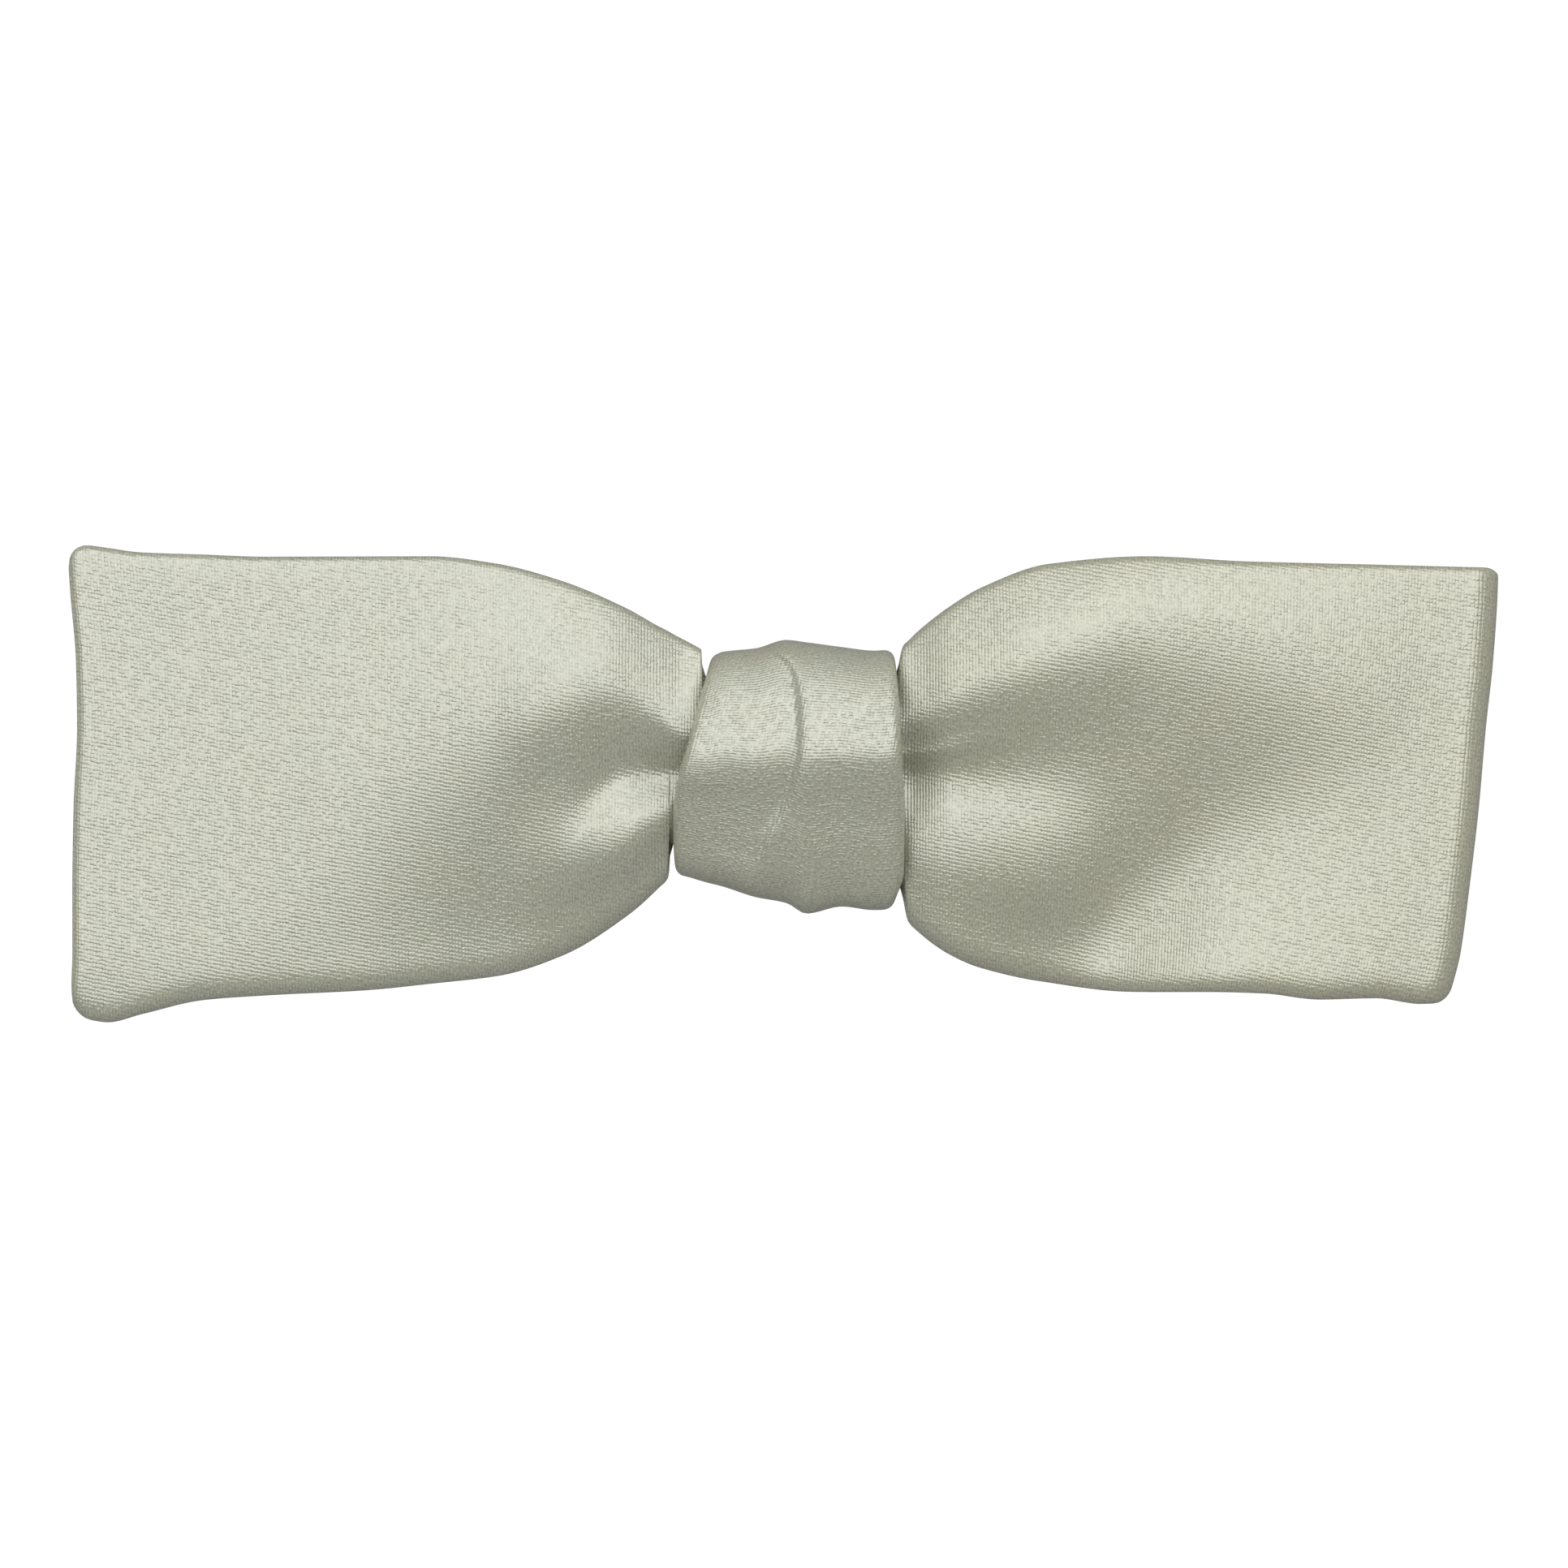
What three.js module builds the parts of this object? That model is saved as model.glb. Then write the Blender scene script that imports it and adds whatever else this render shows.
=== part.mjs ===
import * as THREE from 'three';

// A pre-tied bow tie that lies on its back with its front up. Sizes are in millimetres.
// X runs along the wings, Y up the height of the bow, and Z from the clip to the front.

// Bow band: one padded strip, folded over at the right and again behind the left wing.
const BAND_THICKNESS = 1.8;
const BAND_EDGE_ROUNDING = 1.0;
const BAND_END_THINNING = 0.55;
const BAND_ROWS_ACROSS = 12;
const LEFT_END_X = -60;
const RIGHT_FOLD_X = 60;
const HIDDEN_FOLD_X = -57.2;
const HIDDEN_END_X = 57.0;
const FOLD_REACH = 1.9;
const FOLD_STEPS = 6;
const EAR_RADIUS = 1.7;
const FOLD_CORNER_RADIUS = 0.25;
const HIDDEN_CORNER_RADIUS = 1.5;
const LEFT_SHIFT_FROM = 30;
const RIGHT_SHIFT_FROM = 15;
const FULL_SHIFT_FROM = 58;

// Knot wrap: one short padded strip around the middle of the bow.
const WRAP_THICKNESS = 1.5;
const WRAP_EDGE_THINNING = 0.55;
const WRAP_EDGE_SPREAD = 9;
const WRAP_LEAST_HALF = 0.05;
const WRAP_BACK_Z = 1.1;
const WRAP_SIDE_Z = 6.5;
const WRAP_SQUARENESS = 3.4;
const WRAP_MIDDLE_Y = 0.6;
const WRAP_HALF_HEIGHT = 10.6;
const WRAP_STEPS_AROUND = 36;
const WRAP_SIDE_DROP = 0.5;
const PLEAT_STEP = 0.45;
const PLEAT_SOFTNESS = 0.5;
const PLEAT_FADES_FROM_Y = -3;
const PLEAT_FADES_TO_Y = -9;

// Collar clip: one strip of sheet metal, both ends curled over.
const CLIP_LENGTH = 46;
const CLIP_WIDTH = 10;
const CLIP_SHEET = 0.8;
const CLIP_GAP = 1.2;
const CLIP_ARM_TIP_X = 11.5;
const CLIP_BEND_STEPS = 8;
const CLIP_CENTRE_Y = 0.5;

const CLOTH_COLOUR = 0xd3d4c6;
const METAL_COLOUR = 0xb9babb;

// Height of the front leaf's upper and lower edge along the bow. Under the knot it is pinched.
const BOW_OUTLINE = [
  { x: -60, top: 20.2, bottom: -19.6 },
  { x: -58.4, top: 20.1, bottom: -19.9 },
  { x: -56.9, top: 19.9, bottom: -20.1 },
  { x: -54, top: 19.5, bottom: -19.4 },
  { x: -48.8, top: 19.3, bottom: -18.2 },
  { x: -43.3, top: 19.1, bottom: -17.8 },
  { x: -35.1, top: 19.1, bottom: -17.4 },
  { x: -29.7, top: 19.1, bottom: -16.9 },
  { x: -24.2, top: 18.5, bottom: -16.3 },
  { x: -18.8, top: 17.1, bottom: -14.6 },
  { x: -13.3, top: 14.8, bottom: -11.2 },
  { x: -10.6, top: 13.3, bottom: -8.8 },
  { x: -9.8, top: 12.9, bottom: -7.9 },
  { x: -9.55, top: 12.75, bottom: -5 },
  { x: -7.4, top: 11.6, bottom: -5 },
  { x: -6.95, top: 11.3, bottom: -5 },
  { x: -6.8, top: 8.5, bottom: -5 },
  { x: -5.8, top: 8.2, bottom: -5.5 },
  { x: 0, top: 8.4, bottom: -6.8 },
  { x: 9.2, top: 8.4, bottom: -7.2 },
  { x: 10, top: 11.6, bottom: -9.4 },
  { x: 10.5, top: 12.1, bottom: -11.6 },
  { x: 11.2, top: 12.8, bottom: -12.4 },
  { x: 13.9, top: 14.9, bottom: -14.4 },
  { x: 16.6, top: 16.5, bottom: -15.6 },
  { x: 22.1, top: 18.4, bottom: -16.8 },
  { x: 30.2, top: 19, bottom: -17.6 },
  { x: 38.4, top: 18.6, bottom: -17.5 },
  { x: 43, top: 18.5, bottom: -17.6 },
  { x: 48.4, top: 18.4, bottom: -18.1 },
  { x: 53.4, top: 18.3, bottom: -18 },
  { x: 57.6, top: 18.2, bottom: -18.5 },
  { x: 60, top: 18.1, bottom: -18.5 },
];

// Plan line of the sewn left end and of the right fold.
const SIDE_EDGES = [
  { y: -20, left: -60.1, right: 55.9 },
  { y: -14, left: -59.8, right: 57.1 },
  { y: -8.8, left: -59.8, right: 57.8 },
  { y: -2, left: -59.7, right: 58.6 },
  { y: 4.8, left: -59.4, right: 59.2 },
  { y: 10.3, left: -59.5, right: 59.8 },
  { y: 16.4, left: -60, right: 60.2 },
  { y: 20, left: -60.2, right: 60.3 },
];

// Height above the table of the middle of each leaf, and how much narrower the hidden ones are.
const LEAF_LEVELS = [
  { x: -60, front: 10, middle: 7.2, back: 3.4, middleInset: 1.2, backInset: 1.2 },
  { x: -45, front: 10.6, middle: 7.4, back: 3.4, middleInset: 1.2, backInset: 1.2 },
  { x: -27, front: 11.3, middle: 8.3, back: 5.3, middleInset: 1, backInset: 1.1 },
  { x: -20, front: 10.5, middle: 7.9, back: 5.1, middleInset: 0.8, backInset: 1 },
  { x: -14, front: 9.4, middle: 7, back: 4.5, middleInset: 0.7, backInset: 0.9 },
  { x: -10, front: 8.7, middle: 6.3, back: 4.1, middleInset: 0.5, backInset: 1.8 },
  { x: 10, front: 8.7, middle: 6.4, back: 4.1, middleInset: 0.5, backInset: 3.1 },
  { x: 14, front: 9.8, middle: 7.3, back: 4.8, middleInset: 0.4, backInset: 0.9 },
  { x: 27, front: 11.4, middle: 8.2, back: 5.4, middleInset: 0.3, backInset: 1.3 },
  { x: 45, front: 11.7, middle: 7.2, back: 3.4, middleInset: 0.1, backInset: 1.6 },
  { x: 60, front: 10.9, middle: 6.9, back: 3.2, middleInset: 0, backInset: 1.6 },
];
const FOLD_SHARE = { front: 1, middle: 0.92, back: 0.8 };

// Soft folds that fan out of the knot. Each row gives the crest's place across the wing,
// its height, and how far it spreads towards the upper and the lower edge.
const FOLDS = {
  left: {
    upperRidge: [
      { x: -50, y: 1, height: 0, above: 12, below: 12 },
      { x: -38, y: 1, height: 0.3, above: 12, below: 9 },
      { x: -30, y: 4.4, height: 0.7, above: 11, below: 9 },
      { x: -25, y: 5.8, height: 1.3, above: 10, below: 8 },
      { x: -21.5, y: 6.5, height: 2.4, above: 9, below: 6.4 },
      { x: -18, y: 7.8, height: 3.2, above: 8, below: 6.8 },
      { x: -15, y: 8.6, height: 3.3, above: 7.8, below: 6.2 },
      { x: -12.6, y: 7.8, height: 3.1, above: 8, below: 5.2 },
      { x: -11, y: 6.6, height: 3, above: 8.2, below: 4.2 },
      { x: -8, y: 4.4, height: 2.7, above: 7.4, below: 2.8 },
    ],
    valley: [
      { x: -20, y: -3.4, height: 0, above: 3, below: 3 },
      { x: -18, y: -2.4, height: -0.2, above: 2.6, below: 2.5 },
      { x: -16, y: -0.9, height: -0.5, above: 2.2, below: 2.2 },
      { x: -13, y: 0.8, height: -0.7, above: 2, below: 2 },
      { x: -8, y: 0.8, height: -0.6, above: 1.5, below: 1.5 },
    ],
    lowerRidge: [
      { x: -28, y: -9, height: 0, above: 4, below: 5 },
      { x: -22, y: -7.8, height: 0.2, above: 4, below: 4.5 },
      { x: -17.5, y: -6.4, height: 0.9, above: 4.2, below: 4.2 },
      { x: -13.5, y: -4.8, height: 1.7, above: 4, below: 3.8 },
      { x: -10, y: -2.2, height: 1.3, above: 2.6, below: 3 },
      { x: -8, y: -1, height: 1, above: 1.7, below: 3 },
    ],
    lowerRoll: [
      { x: -50, y: -19, height: -0.3, above: 3, below: 5 },
      { x: -42, y: -19, height: -0.7, above: 6, below: 5 },
      { x: -36, y: -18.6, height: -1.4, above: 9, below: 5 },
      { x: -30, y: -18, height: -3, above: 11, below: 5 },
      { x: -25, y: -17, height: -4.2, above: 11, below: 6 },
      { x: -20, y: -16.5, height: -4.6, above: 10, below: 6 },
      { x: -15, y: -14, height: -3.4, above: 8, below: 5 },
      { x: -8, y: -8, height: -1.2, above: 4, below: 2 },
    ],
  },
  right: {
    upperRidge: [
      { x: 8, y: 5.2, height: 2.6, above: 7.5, below: 2.8 },
      { x: 11.5, y: 6.4, height: 2.9, above: 8, below: 3.8 },
      { x: 15, y: 8, height: 3.3, above: 8, below: 5 },
      { x: 20, y: 10.2, height: 3.8, above: 8, below: 6.5 },
      { x: 25, y: 12.2, height: 3.9, above: 7, below: 8 },
      { x: 30, y: 13.4, height: 3.4, above: 7, below: 9 },
      { x: 35, y: 13.4, height: 2.6, above: 7, below: 10 },
      { x: 42, y: 11.4, height: 1.7, above: 8, below: 10 },
      { x: 50, y: 8, height: 0.7, above: 8, below: 8 },
      { x: 57, y: 7, height: 0, above: 7, below: 7 },
    ],
    finePleat: [
      { x: 8, y: 2.4, height: 0.45, above: 0.5, below: 0.6 },
      { x: 12, y: 2.6, height: 0.4, above: 0.6, below: 0.7 },
      { x: 16, y: 3.4, height: 0.2, above: 0.8, below: 0.9 },
      { x: 20, y: 4.6, height: 0, above: 1, below: 1 },
    ],
    valley: [
      { x: 8, y: 0.8, height: -0.5, above: 1.5, below: 1.5 },
      { x: 14, y: 0.6, height: -0.5, above: 2.2, below: 2.4 },
      { x: 21, y: 0.4, height: -0.3, above: 3, below: 3 },
      { x: 28, y: 0, height: -0.1, above: 4, below: 4 },
      { x: 36, y: 0, height: 0, above: 5, below: 5 },
    ],
    lowerRidge: [
      { x: 8, y: -4.4, height: 0.7, above: 3.8, below: 3 },
      { x: 14, y: -6.4, height: 0.6, above: 6, below: 4.4 },
      { x: 20, y: -7.6, height: 0.8, above: 7, below: 4.4 },
      { x: 25, y: -8, height: 0.4, above: 6, below: 4.4 },
      { x: 30, y: -8, height: 0, above: 4, below: 4 },
    ],
    lowerDip: [
      { x: 10, y: -14, height: -1.6, above: 6, below: 3 },
      { x: 16, y: -17, height: -3.4, above: 9, below: 6 },
      { x: 20, y: -17.5, height: -4.4, above: 10, below: 7 },
      { x: 24, y: -16.5, height: -4.8, above: 10, below: 9 },
      { x: 28, y: -14, height: -4.6, above: 10, below: 11 },
      { x: 33, y: -10, height: -3.4, above: 9, below: 12 },
      { x: 38, y: -6.5, height: -2.1, above: 9, below: 12 },
      { x: 44, y: -3.5, height: -1.1, above: 9, below: 15 },
      { x: 50, y: -1, height: -0.4, above: 8, below: 16 },
      { x: 56, y: 2, height: 0, above: 8, below: 12 },
    ],
  },
};

// The folds flatten out from just outside the knot's side edges to under them.
const FOLD_RISE_START = -2.5;
const FOLD_RISE_END = 1;

// How far the bunched cloth stands up under the knot, from the lower to the upper edge.
const BUNCHED = [
  { y: -10, height: -1.8 },
  { y: -6.5, height: -1.2 },
  { y: -4.5, height: -0.5 },
  { y: -3, height: 0.2 },
  { y: -1, height: 0.7 },
  { y: 0.8, height: 0.5 },
  { y: 2.5, height: 1.7 },
  { y: 4.6, height: 2.7 },
  { y: 8, height: 0.9 },
  { y: 11, height: -0.3 },
];

// Side edges of the knot and the line where its right panel laps over the left one.
const KNOT_SIDES = [
  { y: -11, left: -9.2, right: 9.2, lap: -1.4 },
  { y: -7.3, left: -9.3, right: 10.1, lap: -2 },
  { y: -4.6, left: -9.3, right: 10.1, lap: -1.6 },
  { y: -2, left: -9.1, right: 10.1, lap: 0 },
  { y: 0.7, left: -8.6, right: 9.9, lap: 0.9 },
  { y: 3.3, left: -8, right: 9.8, lap: 1.3 },
  { y: 5.8, left: -7.5, right: 9.7, lap: 1.3 },
  { y: 8.5, left: -6.9, right: 9.5, lap: 1 },
  { y: 10, left: -6.55, right: 9.4, lap: 0.4 },
  { y: 11.5, left: -6.3, right: 9.3, lap: -1 },
];

// Upper and lower edge of the knot along the bow.
const KNOT_ENDS = [
  { x: -9.4, top: 10.5, bottom: -7.7 },
  { x: -6.4, top: 10.7, bottom: -8.4 },
  { x: -5.2, top: 11.2, bottom: -8.7 },
  { x: -2.4, top: 11.5, bottom: -9.6 },
  { x: 0.2, top: 12.2, bottom: -10.1 },
  { x: 1.9, top: 12, bottom: -11 },
  { x: 4.9, top: 11.6, bottom: -10.4 },
  { x: 7.6, top: 11.3, bottom: -10.7 },
  { x: 10.4, top: 11.5, bottom: -10.6 },
];

// Height of the knot's front across it, from its lower to its upper edge.
const KNOT_FRONT = [
  { across: -1, z: 11.8 },
  { across: -0.65, z: 12.3 },
  { across: -0.4, z: 13.1 },
  { across: -0.15, z: 14.3 },
  { across: 0.02, z: 15.3 },
  { across: 0.18, z: 15.9 },
  { across: 0.5, z: 15.5 },
  { across: 1, z: 14.8 },
];
const KNOT_CREST_SLANT = -0.008;
const KNOT_CREST_X = 4;

// Share of the way from one side edge to the lap, and from the lap to the other side edge.
const LEFT_PANEL_STEPS = [0, 0.05, 0.18, 0.45, 0.72, 0.9, 0.97];
const RIGHT_PANEL_STEPS = [0.04, 0.12, 0.32, 0.58, 0.82, 0.95, 1];

// Value of one column between the rows of a table, smooth and without overshoot.
function read(table, key, column, at) {
  const last = table.length - 1;
  if (at <= table[0][key]) return table[0][column];
  if (at >= table[last][key]) return table[last][column];
  let row = 0;
  while (at > table[row + 1][key]) row += 1;
  const grade = (i) => (table[i + 1][column] - table[i][column]) / (table[i + 1][key] - table[i][key]);
  const tangent = (i) => {
    if (i === 0 || i === last) return 0;
    const before = grade(i - 1);
    const after = grade(i);
    return before * after <= 0 ? 0 : (2 * before * after) / (before + after);
  };
  const span = table[row + 1][key] - table[row][key];
  const t = (at - table[row][key]) / span;
  const rise = table[row + 1][column] - table[row][column];
  const ease = t * t * (3 - 2 * t);
  const start = t * (1 - t) * (1 - t) * span * tangent(row);
  const end = t * t * (t - 1) * span * tangent(row + 1);
  return table[row][column] + rise * ease + start + end;
}

function smooth(from, to, at) {
  const t = Math.min(1, Math.max(0, (at - from) / (to - from)));
  return t * t * (3 - 2 * t);
}

// How much a rounded corner takes off an edge, at a distance from the corner's end.
function cornerCut(distance, radius) {
  const inside = Math.max(0, radius - Math.max(0, distance));
  return radius - Math.sqrt(Math.max(0, radius * radius - inside * inside));
}

function distanceOutsideKnot(x, y) {
  return x < 0 ? read(KNOT_SIDES, 'y', 'left', y) - x : x - read(KNOT_SIDES, 'y', 'right', y);
}

function foldHeight(x, y) {
  let height = 0;
  for (const rows of Object.values(x < 0 ? FOLDS.left : FOLDS.right)) {
    const offset = y - read(rows, 'x', 'y', x);
    const spread = read(rows, 'x', offset > 0 ? 'above' : 'below', x);
    height += read(rows, 'x', 'height', x) * Math.exp(-((offset / spread) ** 2));
  }
  const rise = smooth(FOLD_RISE_START, FOLD_RISE_END, distanceOutsideKnot(x, y));
  return THREE.MathUtils.lerp(read(BUNCHED, 'y', 'height', y), height, rise);
}

function leafHeight(leaf, x, y) {
  return read(LEAF_LEVELS, 'x', leaf, x) + FOLD_SHARE[leaf] * foldHeight(x, y);
}

function leafEdges(leaf, x) {
  const inset = leaf === 'front' ? 0 : read(LEAF_LEVELS, 'x', `${leaf}Inset`, x);
  return {
    top: read(BOW_OUTLINE, 'x', 'top', x) - inset,
    bottom: read(BOW_OUTLINE, 'x', 'bottom', x) + inset,
  };
}

// The right fold slants and the left end is hollow, so points move along X with their height.
function planShift(x, y) {
  const onLeft = x < 0;
  const endX = onLeft ? LEFT_END_X : RIGHT_FOLD_X;
  const shift = read(SIDE_EDGES, 'y', onLeft ? 'left' : 'right', y) - endX;
  return shift * smooth(onLeft ? LEFT_SHIFT_FROM : RIGHT_SHIFT_FROM, FULL_SHIFT_FROM, Math.abs(x));
}

// A section across the band: where its middle line lies at each height of the bow.
function leafSection(leaf, x, heading, cut = 0, thinning = 1) {
  const edges = leafEdges(leaf, x);
  return {
    top: edges.top - cut,
    bottom: edges.bottom + cut,
    thinning,
    at: (y) => ({ x: x + planShift(x, y), z: leafHeight(leaf, x, y), nx: 0, nz: heading }),
  };
}

function foldSection(upper, lower, centreX, side, angle) {
  const upperEdges = leafEdges(upper, centreX);
  const lowerEdges = leafEdges(lower, centreX);
  const share = 0.5 - 0.5 * Math.sin(angle);
  const reach = FOLD_REACH * Math.cos(angle);
  const cut = cornerCut((FOLD_REACH - reach) * 0.5, FOLD_CORNER_RADIUS);
  return {
    top: THREE.MathUtils.lerp(upperEdges.top, lowerEdges.top, share) - cut,
    bottom: THREE.MathUtils.lerp(upperEdges.bottom, lowerEdges.bottom, share) + cut,
    thinning: 1,
    at: (y) => {
      const high = leafHeight(upper, centreX, y);
      const low = leafHeight(lower, centreX, y);
      return {
        x: centreX + side * reach + planShift(centreX, y),
        z: (high + low) / 2 + ((high - low) / 2) * Math.sin(angle),
        nx: Math.cos(angle),
        nz: Math.sin(angle) * side,
      };
    },
  };
}

const LEAF_STATIONS = [
  56, 52, 47, 42, 37, 32, 28, 24.5, 21.5, 19, 16.5, 14, 12.2, 10.9, 10.1, 9.5, 8.2, 6.95, 6.8, 5,
];
const HIDDEN_STATIONS = [50, 44, 37, 30, 24, 19, 15, 12, 9.8, 8, 5.5];

function mirroredStations(stations, from, to) {
  const left = stations.filter((x) => -x > from).map((x) => -x);
  const right = [...stations].reverse().filter((x) => x < to);
  return [...left, 0, ...right];
}

function bandSections() {
  const rightCentre = RIGHT_FOLD_X - FOLD_REACH - BAND_THICKNESS / 2;
  const leftCentre = HIDDEN_FOLD_X + FOLD_REACH + BAND_THICKNESS / 2;
  const sections = [];
  for (const distance of [0, 0.25, 0.8, EAR_RADIUS]) {
    const thinning = distance === 0 ? BAND_END_THINNING : 1;
    const cut = cornerCut(distance, EAR_RADIUS);
    sections.push(leafSection('front', LEFT_END_X + distance, 1, cut, thinning));
  }
  for (const x of mirroredStations(LEAF_STATIONS, LEFT_END_X + 3, rightCentre - 1)) {
    sections.push(leafSection('front', x, 1));
  }
  for (let step = 0; step <= FOLD_STEPS; step += 1) {
    const angle = Math.PI * (0.5 - step / FOLD_STEPS);
    sections.push(foldSection('front', 'middle', rightCentre, 1, angle));
  }
  for (const x of mirroredStations(HIDDEN_STATIONS, leftCentre + 1, rightCentre - 1).reverse()) {
    sections.push(leafSection('middle', x, -1));
  }
  for (let step = 0; step <= FOLD_STEPS; step += 1) {
    const angle = Math.PI * (0.5 - step / FOLD_STEPS);
    sections.push(foldSection('middle', 'back', leftCentre, -1, angle));
  }
  for (const x of mirroredStations(HIDDEN_STATIONS, leftCentre + 1, HIDDEN_END_X - 3)) {
    sections.push(leafSection('back', x, 1));
  }
  for (const distance of [HIDDEN_CORNER_RADIUS, 0.6, 0]) {
    const thinning = distance === 0 ? BAND_END_THINNING : 1;
    const cut = cornerCut(distance, HIDDEN_CORNER_RADIUS);
    sections.push(leafSection('back', HIDDEN_END_X - distance, 1, cut, thinning));
  }
  return sections;
}

// Heights across a section, closer together at the rounded edges.
function rowsAcross(bottom, top) {
  const near = [0, 0.12, 0.45].map((share) => share * BAND_EDGE_ROUNDING);
  const inner = { from: bottom + BAND_EDGE_ROUNDING, to: top - BAND_EDGE_ROUNDING };
  const rows = near.map((distance) => ({ y: bottom + distance, distance }));
  for (let i = 0; i <= BAND_ROWS_ACROSS; i += 1) {
    const y = THREE.MathUtils.lerp(inner.from, inner.to, i / BAND_ROWS_ACROSS);
    rows.push({ y, distance: BAND_EDGE_ROUNDING });
  }
  for (const distance of [...near].reverse()) rows.push({ y: top - distance, distance });
  return rows;
}

function roundedHalf(thickness, distance) {
  const inside = 1 - Math.min(1, distance / BAND_EDGE_ROUNDING);
  return (thickness / 2) * Math.sqrt(1 - inside * inside);
}

function bandRing(section) {
  const rows = rowsAcross(section.bottom, section.top);
  const upper = [];
  const lower = [];
  for (const { y, distance } of rows) {
    const { x, z, nx, nz } = section.at(y);
    const half = roundedHalf(BAND_THICKNESS * section.thinning, distance);
    upper.push(new THREE.Vector3(x + nx * half, y, z + nz * half));
    lower.push(new THREE.Vector3(x - nx * half, y, z - nz * half));
  }
  return [...upper, ...lower.slice(1, -1).reverse()];
}

// A closed skin over rings of points, its first and last ring closed by a strip.
function loft(rings, joinEnds) {
  const size = rings[0].length;
  const half = size / 2;
  const positions = rings.flat().flatMap((point) => [point.x, point.y, point.z]);
  const faces = [];
  const spans = joinEnds ? rings.length : rings.length - 1;
  for (let i = 0; i < spans; i += 1) {
    const here = i * size;
    const next = ((i + 1) % rings.length) * size;
    for (let j = 0; j < size; j += 1) {
      const k = (j + 1) % size;
      faces.push(here + j, next + j, next + k, here + j, next + k, here + k);
    }
  }
  const cap = (start, flip) => {
    for (let j = 0; j < half; j += 1) {
      const corners = [j, j + 1, size - j - 1, (size - j) % size].map((k) => start + k);
      const [a, b, c, d] = flip ? [...corners].reverse() : corners;
      if (a !== b && b !== c && a !== c) faces.push(a, b, c);
      if (a !== c && c !== d && a !== d) faces.push(a, c, d);
    }
  };
  if (!joinEnds) {
    cap(0, false);
    cap((rings.length - 1) * size, true);
  }
  return closedGeometry(positions, faces);
}

function closedGeometry(positions, faces) {
  const corner = (i) => new THREE.Vector3(...positions.slice(i * 3, i * 3 + 3));
  let volume = 0;
  for (let i = 0; i < faces.length; i += 3) {
    const [a, b, c] = [corner(faces[i]), corner(faces[i + 1]), corner(faces[i + 2])];
    volume += a.dot(b.cross(c)) / 6;
  }
  const outward = volume > 0 ? faces : [...faces].reverse();
  const geometry = new THREE.BufferGeometry();
  geometry.setAttribute('position', new THREE.Float32BufferAttribute(positions, 3));
  geometry.setIndex(outward);
  return geometry;
}

function bowBand() {
  return loft(bandSections().map(bandRing), false);
}

// Round profile of the wrap, squarer than an ellipse.
function rounded(value) {
  return Math.sign(value) * Math.abs(value) ** (2 / WRAP_SQUARENESS);
}

function wrapPoint(x, angle, share, depth) {
  const top = read(KNOT_ENDS, 'x', 'top', x);
  const bottom = read(KNOT_ENDS, 'x', 'bottom', x);
  const across = rounded(Math.cos(angle));
  const y = (top + bottom) / 2 + ((top - bottom) / 2 - depth) * across;
  const crest = read(KNOT_FRONT, 'across', 'z', across + KNOT_CREST_SLANT * (x - KNOT_CREST_X));
  const front = crest - WRAP_SIDE_DROP * share ** 4;
  const lap = read(KNOT_SIDES, 'y', 'lap', y);
  const fade = smooth(PLEAT_FADES_TO_Y, PLEAT_FADES_FROM_Y, y);
  const step = PLEAT_STEP * Math.tanh((x - lap) / PLEAT_SOFTNESS) * fade;
  const reach = Math.sin(angle) > 0 ? front + step - WRAP_SIDE_Z : WRAP_SIDE_Z - WRAP_BACK_Z;
  const z = WRAP_SIDE_Z + (reach - depth) * rounded(Math.sin(angle));
  return new THREE.Vector3(x, y, z);
}

function wrapRing(angle) {
  const y = WRAP_MIDDLE_Y + WRAP_HALF_HEIGHT * rounded(Math.cos(angle));
  const left = read(KNOT_SIDES, 'y', 'left', y);
  const right = read(KNOT_SIDES, 'y', 'right', y);
  const lap = read(KNOT_SIDES, 'y', 'lap', y);
  const across = [
    ...LEFT_PANEL_STEPS.map((share) => ({ x: THREE.MathUtils.lerp(left, lap, share), share: 1 - share })),
    ...RIGHT_PANEL_STEPS.map((share) => ({ x: THREE.MathUtils.lerp(lap, right, share), share })),
  ];
  const depth = (share) => {
    const edge = cornerCut((1 - share) * WRAP_EDGE_SPREAD, WRAP_THICKNESS * WRAP_EDGE_THINNING);
    return Math.min(edge, WRAP_THICKNESS / 2 - WRAP_LEAST_HALF);
  };
  const outer = across.map(({ x, share }) => wrapPoint(x, angle, share, depth(share)));
  const inner = across.map(({ x, share }) => wrapPoint(x, angle, share, WRAP_THICKNESS - depth(share)));
  return [...outer, ...inner.reverse()];
}

function knotWrap() {
  const rings = [];
  for (let i = 0; i < WRAP_STEPS_AROUND; i += 1) {
    rings.push(wrapRing((2 * Math.PI * i) / WRAP_STEPS_AROUND));
  }
  return loft(rings, true);
}

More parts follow.
